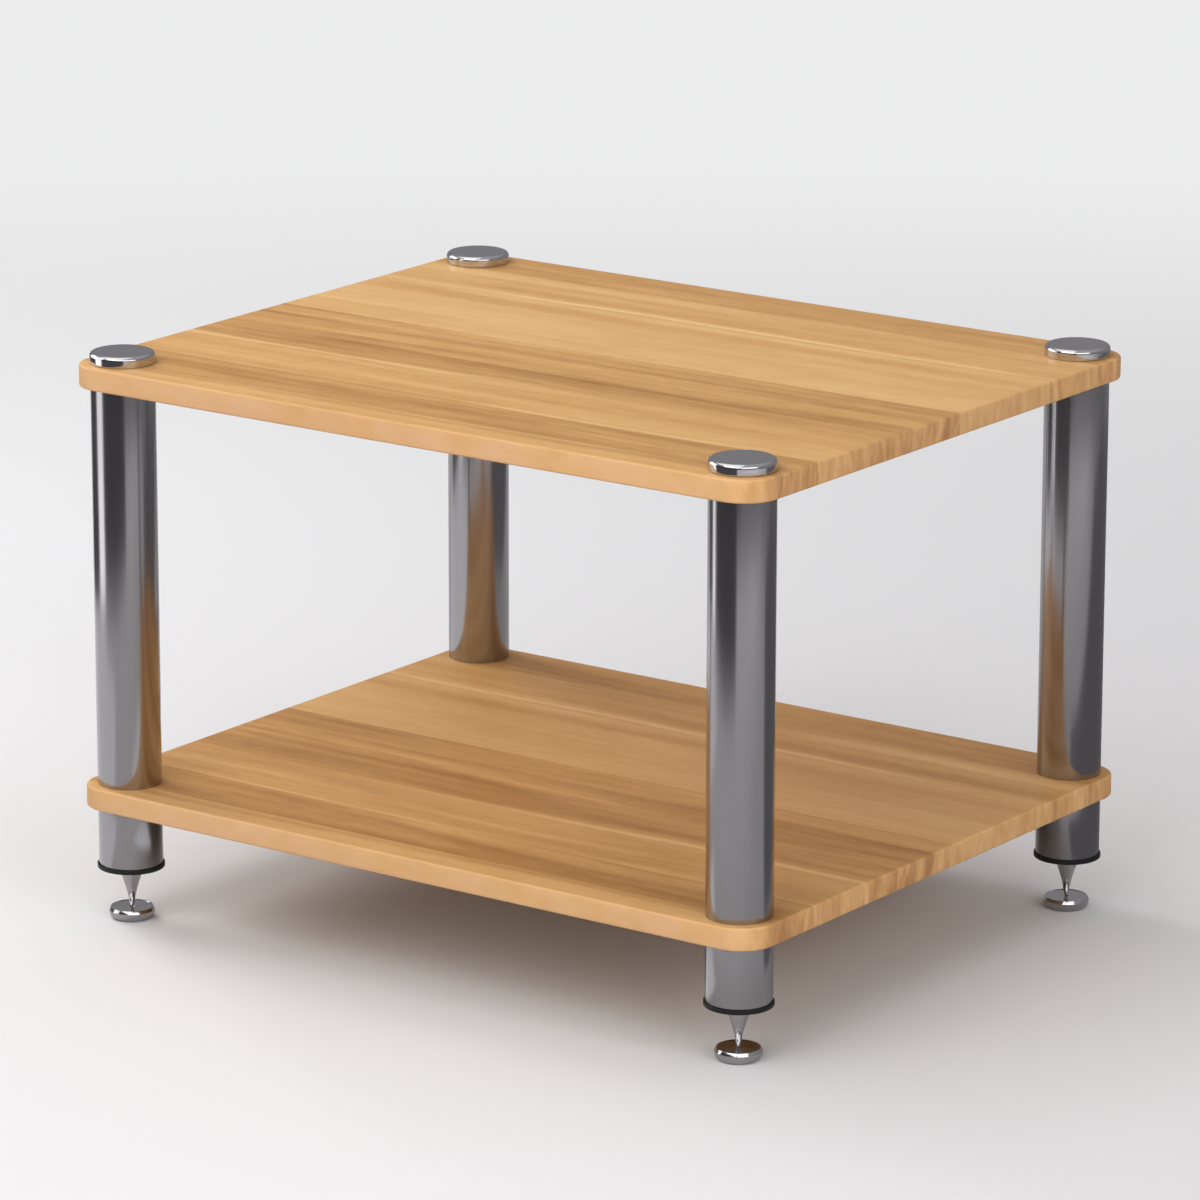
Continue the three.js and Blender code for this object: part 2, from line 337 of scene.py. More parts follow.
def floor_finish():
    """A painted floor. What the camera sees of it is paler and fades into the backdrop far off."""
    material, nodes = empty_material("floor_paint")
    x, y, z = place_of(nodes)
    cloud = nodes.noise(x, y, z, *FLOOR_CLOUD)
    seen = nodes.add("ShaderNodeLightPath").beside("Is Camera Ray")
    paint = nodes.add("ShaderNodeBsdfPrincipled", None, {
        "Base Color": nodes.mix(seen, MIRRORED_FLOOR_COLOUR, FLOOR_COLOUR),
        "Roughness": FLOOR_ROUGHNESS + cloud * FLOOR_CLOUD_ROUGHNESS,
        "Specular IOR Level": 0,
    })
    backdrop = nodes.add("ShaderNodeEmission", None, {"Color": BACKDROP_COLOUR, "Strength": 1})
    distance = nodes.maths("SQRT", x * x + y * y)
    far = nodes.step(distance, *FLOOR_FADE) * seen
    mixed = nodes.add("ShaderNodeMixShader", None, {0: far, 1: paint, 2: backdrop})
    nodes.add("ShaderNodeOutputMaterial", None, {"Surface": mixed})
    return material


def sheet_of(name, points, material):
    """A flat stage piece with these corners."""
    mesh = bpy.data.meshes.new(name)
    mesh.from_pydata(points, [], [tuple(range(len(points)))])
    mesh.materials.append(material)
    piece = show(name, mesh)
    piece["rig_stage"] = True
    return piece


def light_world():
    """A dome that is brightest overhead. The camera sees a paler backdrop where the floor ends."""
    world = bpy.data.worlds.new("studio")
    world.use_nodes = True
    bpy.context.scene.world = world
    nodes = Nodes(world.node_tree)
    height = nodes.split(nodes.add("ShaderNodeTexCoord").beside("Generated"))[2]
    dome = nodes.mix(nodes.step(height, *DOME_RISE), HORIZON_COLOUR, ZENITH_COLOUR)
    seen = nodes.add("ShaderNodeLightPath").beside("Is Camera Ray")
    tint = nodes.mix(seen, dome, BACKDROP_COLOUR)
    sky = nodes.add("ShaderNodeBackground", None, {"Color": tint})
    nodes.add("ShaderNodeOutputWorld", None, {"Surface": sky})


half = FLOOR_SIZE / 2
floor_corners = [(-half, -half, 0), (half, -half, 0), (half, half, 0), (-half, half, 0)]
sheet_of("floor", floor_corners, floor_finish())
light_world()
print("the floor is", FLOOR_SIZE, "metres wide")

# %% [markdown]
# Soft lights
#
# A bare lamp would be a hard dot in the steel, so every lamp is a large soft rectangle. A low window
# on the left draws a bright strip down each tube, and more stand over the front and the right. A
# lamp whose name ends in glint is seen in reflections alone. The fill lights are the other way round:
# they light the wood and the floor, and leave no mark on the metal.

# %% Soft lights
# name: place, width, height and the brightness of its face, where 1 looks white
SOFT_LIGHTS = {
    "window_glint": ((-0.68, -0.55, 0.5), 0.26, 0.8, 1.45),
    "window_high_glint": ((-2.6, -0.5, 1.15), 1.8, 1.6, 2.2),
    "key_fill": ((-2.3, 0.4, 1.7), 1.1, 1.1, 7.6),
    "overhead": ((-0.7, -0.5, 2.8), 2.4, 2.2, 1.0),
    "front_high": ((0.0, -2.25, 2.3), 2.6, 1.5, 2.2),
    "front_right_glint": ((2.4, -1.5, 2.0), 2.6, 1.2, 2.0),
    "front_fill": ((0.6, -3.3, 1.2), 3.6, 1.6, 1.65),
    "right_fill": ((3.2, -1.2, 1.3), 2.6, 2.0, 3.1),
}
LIGHT_TARGET = Vector((0, 0, 0.3))


def soft_light(name, place, width, height, radiance):
    """A rectangular lamp aimed at the rack."""
    data = bpy.data.lights.new(name, "AREA")
    data.shape = "RECTANGLE"
    data.size = width
    data.size_y = height
    data.energy = radiance * math.pi * width * height
    lamp = show(name, data)
    aim = (LIGHT_TARGET - Vector(place)).to_track_quat("-Z", "Y").to_matrix().to_4x4()
    lamp.matrix_world = Matrix.Translation(place) @ aim
    lamp.visible_camera = False
    lamp.visible_glossy = not name.endswith("fill")
    lamp.visible_diffuse = not name.endswith("glint")


for name, (place, width, height, radiance) in SOFT_LIGHTS.items():
    soft_light(name, place, width, height, radiance)
bpy.context.scene.view_settings.view_transform = "Standard"
print("soft lights:", ", ".join(SOFT_LIGHTS))

# %% [markdown]
# Flags and cards
#
# A photographer puts dark flags beside the lights to draw dark bands on polished metal, and pale
# cards on the floor for the feet. Here they are plain glowing sheets that are seen in reflections
# alone, so they give the wood no light and take none away.

# %% Flags and cards
FLAG_GREY = colour(84, 82, 84)
FLAG_FRINGE = 0.13
# name: left end, right end, foot, height, colour, and the fringe's colour if it has one
FLAGS = {
    "flag": ((-0.96, -0.96), (0.585, -1.2), 0, 0.5, FLAG_GREY, colour(176, 174, 175)),
    "far_flag": ((-1.9, -1.45), (1.3, -1.95), 0.35, 1.25, colour(48, 46, 48)),
    "side_flag": ((-1.04, 0.05), (-1.04, -0.55), 0.06, 0.45, FLAG_GREY),
}
CARD_HEIGHT = 0.0005
CARD_WHITE = colour(240, 240, 242)
# The pale cards paint a brightly lit floor into the metal's reflections, at the left and between the
# front feet; the dark card paints the floor's shade behind the rack on the right into them.
# name: colour, then the corners
CARDS = {
    "lit_floor_left": (CARD_WHITE, (-1.3, -0.8), (-0.36, -0.8), (-0.36, 0.3), (-1.3, 0.3)),
    "lit_floor_front": (CARD_WHITE, (-0.1, -0.42), (0.16, -0.36), (0.16, -0.18), (-0.1, -0.14)),
    "shaded_floor_back": (colour(112, 110, 113), (0.5, -0.08), (2.4, 0.8), (2.4, 2.4), (-0.2, 2.4), (0.1, 0.7)),
}


def glow_finish(name, tint, fringe=None):
    """A plain glow, or one that starts from a fringe of another colour at the floor."""
    material, nodes = empty_material(name)
    if fringe:
        tint = nodes.mix(nodes.step(place_of(nodes)[2], 0, FLAG_FRINGE), fringe, tint)
    shader = nodes.add("ShaderNodeEmission", None, {"Color": tint, "Strength": 1})
    nodes.add("ShaderNodeOutputMaterial", None, {"Surface": shader})
    return material


def show_in_reflections(piece):
    piece.visible_camera = False
    piece.visible_diffuse = False
    piece.visible_shadow = False


def upright_flag(name, left, right, foot, height, *tints):
    corners = [(*left, foot), (*right, foot), (*right, height), (*left, height)]
    return sheet_of(name, corners, glow_finish(name, *tints))


def floor_card(name, tint, *corners):
    points = [(x, y, CARD_HEIGHT) for x, y in corners]
    return sheet_of(name, points, glow_finish(name, tint))


sheets = [upright_flag(name, *row) for name, row in FLAGS.items()]
sheets += [floor_card(name, *row) for name, row in CARDS.items()]
for sheet in sheets:
    show_in_reflections(sheet)
print("flags and cards:", ", ".join(sheet.name for sheet in sheets))

# %% [markdown]
# Laminated wood
#
# Each board is glued up from eight staves of unequal width that run along its length. A picture of
# wood could be laid on it, but it would stretch at the edges. A pattern in space does better: it is
# the same solid wood on top, along the edge and on the sawn end, where its streaks run down as
# stripes. Every stave shifts the pattern, leans its growth rings and has its own shade, and pale
# sapwood shows along some of the glue lines.

# %% Staves and streaks
STAVE_WIDTHS = (0.0275, 0.053, 0.070, 0.045, 0.077, 0.128, 0.070, 0.0545)
STAVE_SHADES = (0.60, 0.31, 0.54, 0.37, 0.40, 0.66, 0.55, 0.40)
STAVE_FIGURES = (0.5, 0.8, 0.6, 0.85, 0.95, 0.45, 0.6, 0.7)
STREAK_FADE_PARTS = 3
STREAK_CORE = 0.15
# place across, where the streak starts and ends along, width, and change of shade
STREAKS = (
    (-0.2395, -0.60, 0.60, 0.008, -0.22),
    (-0.204, -0.60, 0.20, 0.017, -0.08),
    (-0.188, 0.00, 0.60, 0.009, -0.14),
    (-0.179, -0.04, 0.28, 0.005, 0.26),
    (-0.169, -0.60, 0.20, 0.012, -0.12),
    (-0.153, -0.20, 0.12, 0.006, 0.13),
    (-0.110, -0.55, 0.06, 0.005, 0.40),
    (-0.085, -0.50, 0.20, 0.022, -0.12),
    (-0.066, -0.08, 0.38, 0.012, -0.21),
    (-0.044, 0.04, 0.50, 0.009, 0.12),
    (-0.050, -0.60, 0.06, 0.018, -0.12),
    (-0.022, -0.50, 0.00, 0.010, -0.12),
    (0.010, -0.50, -0.20, 0.010, -0.08),
    (0.118, -0.60, 0.60, 0.016, -0.15),
    (0.092, -0.06, 0.60, 0.018, -0.08),
    (0.1435, -0.42, 0.50, 0.0062, 0.34),
    (0.160, -0.60, 0.60, 0.012, -0.13),
    (0.194, -0.55, 0.10, 0.012, 0.18),
)


def seam_places():
    """The glue lines' places across the board, from the front."""
    y = -sum(STAVE_WIDTHS) / 2
    places = []
    for width in STAVE_WIDTHS[:-1]:
        y += width
        places.append(y)
    return places


def by_stave(nodes, y, values):
    """Each stave's own value, as a ramp with hard steps across the board."""
    depth = sum(STAVE_WIDTHS)
    starts = [0] + [(seam + depth / 2) / depth for seam in seam_places()]
    stops = [(start, (value, value, value, 1)) for start, value in zip(starts, values)]
    ramp = nodes.add("ShaderNodeValToRGB", {"stops": stops}, {"Fac": (y + depth / 2) / depth})
    ramp.socket.node.color_ramp.interpolation = "CONSTANT"
    return ramp


def streak(nodes, x, across, place, start, end, width, change):
    """A soft streak along the grain that fades in and out at its ends."""
    fade = (end - start) / STREAK_FADE_PARTS
    side = 1 - nodes.step(abs(across - place), width * STREAK_CORE, width)
    reach = nodes.step(x, start, start + fade) * (1 - nodes.step(x, end - fade, end))
    return side * reach * change


print("glue lines at", [round(seam, 4) for seam in seam_places()])

# %% [markdown]
# The wood's surface
#
# One shade from 0 to 1 picks the wood's colour from a ramp. It is a sum: the stave's own shade, broad
# and narrow growth rings, fibre and clouds, and the streaks. All edges are duller than the faces. The
# long ones are sanded paler. The sawn ends drink more lacquer, so they are darker, with clear rings.

# %% Wood
low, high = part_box("top_board")
TOP_BOARD_TOP = high.z
BOARD_THICKNESS = high.z - low.z
LOWER_BOARD_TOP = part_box("lower_board")[1].z
STAVE_SHIFT = 1.7
STAVE_LEAN = 0.35
# noise: size of its patches along, across and upwards, then how often and how roughly they break up
WANDER = ((0.2, 0.1, 0.5), 1)
BROAD_RINGS = ((0.5, 0.03, 0.5), 2)
NARROW_RINGS = ((0.18, 0.008, 0.03), 3)
FIBRE = ((0.03, 0.0008, 0.01), 3, 0.6)
CLOUDS = ((0.12, 0.05, 0.2), 2)
MOTTLE = ((0.022, 0.009, 0.02), 2)
SANDING = ((0.035, 0.035, 0.02), 2)
PORES = ((0.014, 0.0004, 0.0004), 1)
PORE_RANGE = (0.68, 0.78)
WANDER_REACH = 0.015
BROAD_CHANGE = 0.9
NARROW_CHANGE = 0.6
FIBRE_CHANGE = 0.12
CLOUD_CHANGE = 0.2
MOTTLE_CHANGE = 0.2
SANDING_CHANGE = 1.1
END_RING_CHANGE = 1.4
EDGE_RISE = 0.0012
END_START = 0.302
END_FULL = 0.3235
EDGE_SHARE = 0.4
END_LOSS = 0.6
END_SHARE = 0.2
PORE_SHARE = 0.3
GLUE_LINE_WIDTH = 0.0004
GLUE_LINE_CORE = 0.3
GLUE_SHARE = 0.2
WOOD_DARK = colour(159, 108, 50)
WOOD_MIDDLE = colour(210, 160, 98)
WOOD_PALE = colour(239, 197, 137)
WOOD_EDGE = colour(226, 180, 142)
END_GRAIN = colour(180, 130, 96)
PORE_COLOUR = colour(128, 84, 48)
WOOD_ROUGHNESS = 0.38
RING_ROUGHNESS = 0.1
PORE_ROUGHNESS = 0.15
EDGE_ROUGHNESS = 0.22
WOOD_SPECULAR = 0.28
WOOD_RELIEF = 0.00004
FIBRE_RELIEF = 0.4
PORE_RELIEF = 0.5
GLUE_RELIEF = 0.6


def swing(noise, change):
    """Turns noise from 0 to 1 into a change, up or down by half of this much."""
    return (noise - 0.5) * change


def glue_lines(nodes, y):
    """1 on the glue lines and 0 beside them."""
    nearest = None
    for seam in seam_places():
        away = abs(y - seam)
        nearest = nodes.maths("MINIMUM", nearest, away) if nearest else away
    return 1 - nodes.step(nearest, GLUE_LINE_WIDTH * GLUE_LINE_CORE, GLUE_LINE_WIDTH)


def wood_surface(nodes):
    x, y, z = place_of(nodes)
    seams = seam_places()
    stave = sum((y > seam for seam in seams[1:]), y > seams[0])
    chance = nodes.add("ShaderNodeTexWhiteNoise", {"noise_dimensions": "1D"}, {"W": stave})
    lean = (chance - 0.5) * STAVE_LEAN
    lower = z < (TOP_BOARD_TOP + LOWER_BOARD_TOP) / 2
    depth = z - TOP_BOARD_TOP + lower * (TOP_BOARD_TOP - LOWER_BOARD_TOP)
    length = x * (1 - 2 * lower)
    along = length + stave * STAVE_SHIFT
    across = y + depth * lean + swing(nodes.noise(along, y, z, *WANDER), WANDER_REACH)
    broad = nodes.noise(along, across, z, *BROAD_RINGS)
    narrow = nodes.noise(along, across, z, *NARROW_RINGS)
    fibre = nodes.noise(along, across, z, *FIBRE)
    cloud = nodes.noise(along, y, z, *CLOUDS)
    mottle = nodes.noise(along, y, z, *MOTTLE)
    figure = by_stave(nodes, y, STAVE_FIGURES)
    rings = (swing(broad, BROAD_CHANGE) + swing(narrow, NARROW_CHANGE)) * figure
    shade = by_stave(nodes, y, STAVE_SHADES) + rings + swing(fibre, FIBRE_CHANGE)
    shade = shade + swing(cloud, CLOUD_CHANGE) + swing(mottle, MOTTLE_CHANGE)
    for row in STREAKS:
        shade = shade + streak(nodes, length, across, *row)
    edge = nodes.step(0 - depth, 0, EDGE_RISE) * nodes.step(depth + BOARD_THICKNESS, 0, EDGE_RISE)
    end = nodes.step(abs(length), END_START, END_FULL)
    shade = shade + swing(narrow, END_RING_CHANGE) * edge * end * figure
    stops = [(0.0, WOOD_DARK), (0.5, WOOD_MIDDLE), (1.0, WOOD_PALE)]
    tone = nodes.add("ShaderNodeValToRGB", {"stops": stops}, {"Fac": shade})
    sanded = EDGE_SHARE + swing(nodes.noise(along, across, z, *SANDING), SANDING_CHANGE)
    tone = nodes.mix(edge * sanded * (1 - end * END_LOSS), tone, WOOD_EDGE)
    tone = nodes.mix(edge * end * END_SHARE, tone, END_GRAIN)
    pore = nodes.step(nodes.noise(along, across, z, *PORES), *PORE_RANGE)
    tone = nodes.mix(pore * PORE_SHARE, tone, PORE_COLOUR)
    glue = glue_lines(nodes, y)
    dull = narrow * RING_ROUGHNESS + pore * PORE_ROUGHNESS + edge * EDGE_ROUGHNESS
    relief = fibre * FIBRE_RELIEF - pore * PORE_RELIEF - glue * GLUE_RELIEF
    return {
        "Base Color": nodes.mix(glue * GLUE_SHARE, tone, PORE_COLOUR),
        "Roughness": WOOD_ROUGHNESS + dull,
        "Specular IOR Level": WOOD_SPECULAR,
        "Normal": nodes.bump(relief, WOOD_RELIEF),
    }


finish("laminated_wood", wood_surface)

# %% [markdown]
# Polished and plain steel
#
# Polished steel is a mirror with very fine faults. A flat roughness looks like plastic foil, so
# the tubes get the hairlines that drawing leaves along them, the turned pieces the rings that
# a lathe leaves round their axis, and both the faint clouds of a polished and handled surface. All
# columns stand at the same distance from the middle, so the distance to the nearest axis comes from
# the absolute values of x and y, and one material serves all four.

# %% Steel
COLUMN_X = axis_of("spike_back_right").x
COLUMN_Y = axis_of("spike_back_right").y
TUBE_STEEL = colour(172, 170, 172)
TUBE_STEEL_DARK = colour(160, 158, 161)
TUBE_HAIRLINES = ((0.0006, 0.0006, 0.12), 2, 0.7)
TUBE_CLOUDS = ((0.03, 0.03, 0.05), 3)
TUBE_ROUGHNESS = 0.13
HAIRLINE_ROUGHNESS = 0.05
TUBE_CLOUD_ROUGHNESS = 0.06
TUBE_RELIEF = 0.0000012
TURNED_STEEL = colour(204, 202, 203)
TURNED_STEEL_DARK = colour(190, 188, 190)
LATHE_RINGS = ((0.0004, 0.0004, 30), 2, 0.6)
TURNED_CLOUDS = ((0.012, 0.012, 0.012), 3)
TURNED_ROUGHNESS = 0.07
LATHE_ROUGHNESS = 0.05
TURNED_CLOUD_ROUGHNESS = 0.05
TURNED_RELIEF = 0.0000015
ZINC = colour(178, 178, 174)
ZINC_DARK = colour(150, 150, 142)
ZINC_BLOOM = ((0.006, 0.006, 0.006), 4, 0.6)
ZINC_GRAIN = ((0.0005, 0.0005, 0.0005), 2)
ZINC_ROUGHNESS = 0.28
BLOOM_ROUGHNESS = 0.16
ZINC_RELIEF = 0.00001


def column_place(nodes):
    """Where a point is, seen from its own column's axis: x, y and z."""
    x, y, z = place_of(nodes)
    return abs(x) - COLUMN_X, abs(y) - COLUMN_Y, z


def tube_surface(nodes):
    x, y, z = column_place(nodes)
    hairline = nodes.noise(x, y, z, *TUBE_HAIRLINES)
    cloud = nodes.noise(x, y, z, *TUBE_CLOUDS)
    return {
        "Base Color": nodes.mix(hairline, TUBE_STEEL, TUBE_STEEL_DARK),
        "Metallic": 1,
        "Roughness": TUBE_ROUGHNESS + hairline * HAIRLINE_ROUGHNESS + cloud * TUBE_CLOUD_ROUGHNESS,
        "Normal": nodes.bump(hairline, TUBE_RELIEF),
    }


def turned_surface(nodes):
    x, y, z = column_place(nodes)
    distance = nodes.maths("SQRT", x * x + y * y)
    angle = nodes.maths("ARCTAN2", y, x)
    ring = nodes.noise(distance, z, angle, *LATHE_RINGS)
    cloud = nodes.noise(x, y, z, *TURNED_CLOUDS)
    return {
        "Base Color": nodes.mix(ring, TURNED_STEEL, TURNED_STEEL_DARK),
        "Metallic": 1,
        "Roughness": TURNED_ROUGHNESS + ring * LATHE_ROUGHNESS + cloud * TURNED_CLOUD_ROUGHNESS,
        "Normal": nodes.bump(ring, TURNED_RELIEF),
    }


def zinc_surface(nodes):
    x, y, z = place_of(nodes)
    bloom = nodes.noise(x, y, z, *ZINC_BLOOM)
    grain = nodes.noise(x, y, z, *ZINC_GRAIN)
    return {
        "Base Color": nodes.mix(bloom, ZINC, ZINC_DARK),
        "Metallic": 1,
        "Roughness": ZINC_ROUGHNESS + bloom * BLOOM_ROUGHNESS,
        "Normal": nodes.bump(grain, ZINC_RELIEF),
    }


finish("polished_tube", tube_surface)
finish("polished_fitting", turned_surface)
finish("plain_steel", zinc_surface)

# %% [markdown]
# Black plastic and rubber
#
# The end plugs are moulded in nylon. Its skin copies the spark-eroded mould, so it has a fine grain
# that spreads the light. The rubber under the pads is duller still and carries a woven print.

# %% Plastic and rubber
NYLON = colour(17, 16, 17)
NYLON_PALE = colour(25, 24, 25)
NYLON_GRAIN = ((0.00035, 0.00035, 0.00035), 3, 0.65)
NYLON_FLOW = ((0.012, 0.012, 0.004), 2)
NYLON_ROUGHNESS = 0.42
GRAIN_ROUGHNESS = 0.14
NYLON_SPECULAR = 0.35
NYLON_RELIEF = 0.00003
RUBBER = colour(34, 33, 34)
RUBBER_PALE = colour(52, 50, 50)
RUBBER_DUST = ((0.004, 0.004, 0.004), 4, 0.6)
RUBBER_ROUGHNESS = 0.75
DUST_ROUGHNESS = 0.15
RUBBER_RELIEF = 0.0001
WEAVE = 5200


def nylon_surface(nodes):
    x, y, z = place_of(nodes)
    grain = nodes.noise(x, y, z, *NYLON_GRAIN)
    flow = nodes.noise(x, y, z, *NYLON_FLOW)
    return {
        "Base Color": nodes.mix(flow, NYLON, NYLON_PALE),
        "Roughness": NYLON_ROUGHNESS + grain * GRAIN_ROUGHNESS,
        "Specular IOR Level": NYLON_SPECULAR,
        "Normal": nodes.bump(grain, NYLON_RELIEF),
    }


def rubber_surface(nodes):
    x, y, z = place_of(nodes)
    weave = nodes.maths("SINE", x * WEAVE) * nodes.maths("SINE", y * WEAVE)
    dust = nodes.noise(x, y, z, *RUBBER_DUST)
    return {
        "Base Color": nodes.mix(dust, RUBBER, RUBBER_PALE),
        "Roughness": RUBBER_ROUGHNESS + dust * DUST_ROUGHNESS,
        "Normal": nodes.bump(weave, RUBBER_RELIEF),
    }


finish("black_plastic", nylon_surface)
finish("liner_rubber", rubber_surface)

# %% [markdown]
# Shapes from Geometry Nodes
#
# A shape that follows a rule can be a tree of geometry nodes. The tree's inputs are its sizes, so
# the same tree makes both boards, and another one makes every screw thread. Each result is turned
# into a plain mesh, because instances and live trees would be lost if the model were exported.

# %% Shapes that follow a rule
WELD = 0.00001
SOFT_ANGLE = math.radians(32)


def rule(name, inputs):
    """A geometry tree with named inputs, given as name: socket type. Returns its nodes and wires."""
    tree = bpy.data.node_groups.new(name, "GeometryNodeTree")
    tree.interface.new_socket("Geometry", in_out="INPUT", socket_type="NodeSocketGeometry")
    for label, kind in inputs.items():
        tree.interface.new_socket(label, in_out="INPUT", socket_type=kind)
    tree.interface.new_socket("Geometry", in_out="OUTPUT", socket_type="NodeSocketGeometry")
    nodes = Nodes(tree)
    entry = nodes.add("NodeGroupInput")
    return nodes, {label: entry.beside(label) for label in ("Geometry", *inputs)}


def end_rule(nodes, geometry, material):
    """Ends a tree: instances become real, near points become one, and the material is set."""
    real = nodes.add("GeometryNodeRealizeInstances", None, {"Geometry": geometry})
    welded = nodes.add("GeometryNodeMergeByDistance", None, {"Geometry": real, "Distance": WELD})
    painted = nodes.add("GeometryNodeSetMaterial", None, {"Geometry": welded, "Material": material})
    nodes.add("NodeGroupOutput", None, {"Geometry": painted})
    return nodes.tree


def smooth(mesh):
    """Shades a mesh smoothly but keeps its real edges sharp."""
    mesh.shade_smooth()
    mesh.set_sharp_from_angle(angle=SOFT_ANGLE)


def grow(name, mesh, tree, values):
    """Runs a tree on a mesh and keeps the result as a plain mesh."""
    piece = show(name, mesh)
    modifier = piece.modifiers.new("rule", "NODES")
    modifier.node_group = tree
    inputs = [item for item in tree.interface.items_tree if item.in_out == "INPUT"]
    sockets = {item.name: item.identifier for item in inputs}
    for label, value in values.items():
        modifier[sockets[label]] = value
    evaluated = piece.evaluated_get(bpy.context.evaluated_depsgraph_get())
    result = bpy.data.meshes.new_from_object(evaluated)
    piece.modifiers.clear()
    piece.data = result
    smooth(result)
    return piece


def settle(piece, node):
    """Puts a finished piece in a node's place: it rides on the node's body and hides the node."""
    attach(piece, frame["nodes"][node]["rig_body"])
    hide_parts(node)
    return piece


print("edges up to", round(math.degrees(SOFT_ANGLE)), "degrees look soft")

# %% [markdown]
# The boards
#
# A board is a slab with round corners and eased edges, drilled for a stud at each corner. A cube
# with a bevel would pinch where the edge rounding meets the corners. Instead the tree draws the
# outline, sweeps half the edge's section round it, and closes it above and below with lids that
# leave the four stud holes open. A narrow flat band between lid and rounding keeps the lid's
# shading dead flat.

# %% Boards
CORNER_RADIUS = 0.028
EDGE_RADIUS = 0.002
EDGE_BAND = 0.0015
HOLE_RADIUS = 0.0045
CORNER_CUTS = 20
EDGE_CUTS = 6
HOLE_SIDES = 32


def board_rule():
    number = "NodeSocketFloat"
    nodes, size = rule("eased board", {
        "Width": number, "Depth": number, "Thickness": number, "Corner Radius": number,
        "Edge Radius": number, "Band": number, "Hole Radius": number, "Hole X": number,
        "Hole Y": number, "Bottom": number, "Material": "NodeSocketMaterial",
    })
    inset = size["Edge Radius"] + size["Band"]
    sharp = nodes.add("GeometryNodeCurvePrimitiveQuadrilateral", {"mode": "RECTANGLE"}, {
        "Width": size["Width"] - 2 * inset, "Height": size["Depth"] - 2 * inset})
    outline = nodes.add("GeometryNodeFilletCurve", {"mode": "POLY"}, {
        "Curve": sharp, "Count": CORNER_CUTS, "Radius": size["Corner Radius"] - inset})
    rail = nodes.add("GeometryNodeSetCurveNormal", {"mode": "Z_UP"}, {"Curve": outline})
    zero = nodes.vector(0, 0, 0)
    down = 0 - size["Thickness"]
    square = nodes.add("GeometryNodeCurvePrimitiveQuadrilateral", {"mode": "POINTS"}, {
        "Point 1": zero, "Point 2": nodes.vector(inset, 0, 0),
        "Point 3": nodes.vector(inset, down, 0), "Point 4": nodes.vector(0, down, 0)})
    reach = nodes.split(nodes.add("GeometryNodeInputPosition"))[0]
    section = nodes.add("GeometryNodeFilletCurve", {"mode": "POLY"}, {
        "Curve": square, "Count": EDGE_CUTS, "Radius": (reach > size["Band"]) * size["Edge Radius"]})
    section = nodes.add("GeometryNodeSetSplineCyclic", None, {"Geometry": section, "Cyclic": False})
    side = nodes.add("GeometryNodeCurveToMesh", None, {"Curve": rail, "Profile Curve": section})
    side = nodes.add("GeometryNodeFlipFaces", None, {"Mesh": side})
    hole = nodes.add("GeometryNodeCurvePrimitiveCircle", {"mode": "RADIUS"}, {
        "Resolution": HOLE_SIDES, "Radius": size["Hole Radius"]})
    drills = nodes.add("GeometryNodeCurvePrimitiveQuadrilateral", {"mode": "RECTANGLE"}, {
        "Width": 2 * size["Hole X"], "Height": 2 * size["Hole Y"]})
    holes = nodes.add("GeometryNodeInstanceOnPoints", None, {"Points": drills, "Instance": hole})
    holes = nodes.add("GeometryNodeRealizeInstances", None, {"Geometry": holes})
    upright = nodes.add("GeometryNodeSetCurveNormal", {"mode": "Z_UP"}, {"Curve": holes})
    line = nodes.add("GeometryNodeCurvePrimitiveLine", {"mode": "POINTS"}, {
        "Start": zero, "End": nodes.vector(0, down, 0)})
    bore = nodes.add("GeometryNodeCurveToMesh", None, {"Curve": upright, "Profile Curve": line})
    loops = nodes.add("GeometryNodeJoinGeometry", None, {"Geometry": [outline, holes]})
    lid = nodes.add("GeometryNodeFillCurve", {"mode": "TRIANGLES"}, {"Curve": loops})
    raised = nodes.add("GeometryNodeTransform", None, {
        "Geometry": lid, "Translation": nodes.vector(0, 0, size["Thickness"])})
    under = nodes.add("GeometryNodeFlipFaces", None, {"Mesh": lid})
    board = nodes.add("GeometryNodeJoinGeometry", None, {"Geometry": [side, bore, raised, under]})
    board = nodes.add("GeometryNodeTransform", None, {
        "Geometry": board, "Translation": nodes.vector(0, 0, size["Bottom"])})
    return end_rule(nodes, board, size["Material"])


def make_board(node, tree):
    low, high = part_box(node)
    board = grow(f"{node}_fine", bpy.data.meshes.new(node), tree, {
        "Width": high.x - low.x, "Depth": high.y - low.y, "Thickness": high.z - low.z,
        "Corner Radius": CORNER_RADIUS, "Edge Radius": EDGE_RADIUS, "Band": EDGE_BAND,
        "Hole Radius": HOLE_RADIUS, "Hole X": COLUMN_X, "Hole Y": COLUMN_Y,
        "Bottom": low.z, "Material": FINISHES["laminated_wood"],
    })
    return settle(board, node)


board_tree = board_rule()
for node in ("top_board", "lower_board"):
    board = make_board(node, board_tree)
    print(f"{board.name}: {len(board.data.polygons)} faces")

# %% [markdown]
# Turned pieces
#
# Tubes, caps, plugs, spikes and pads are all round, so each is half an outline turned about its
# column's axis. The outline is a short list of radius and height, where each real corner is eased
# by a small arc that catches the light. Points on the axis become a single vertex, so the poles are
# closed, and the faces point outwards if the outline runs up its outside.

# %% Turning
TURN_STEPS = 96
EASE_STEPS = 4


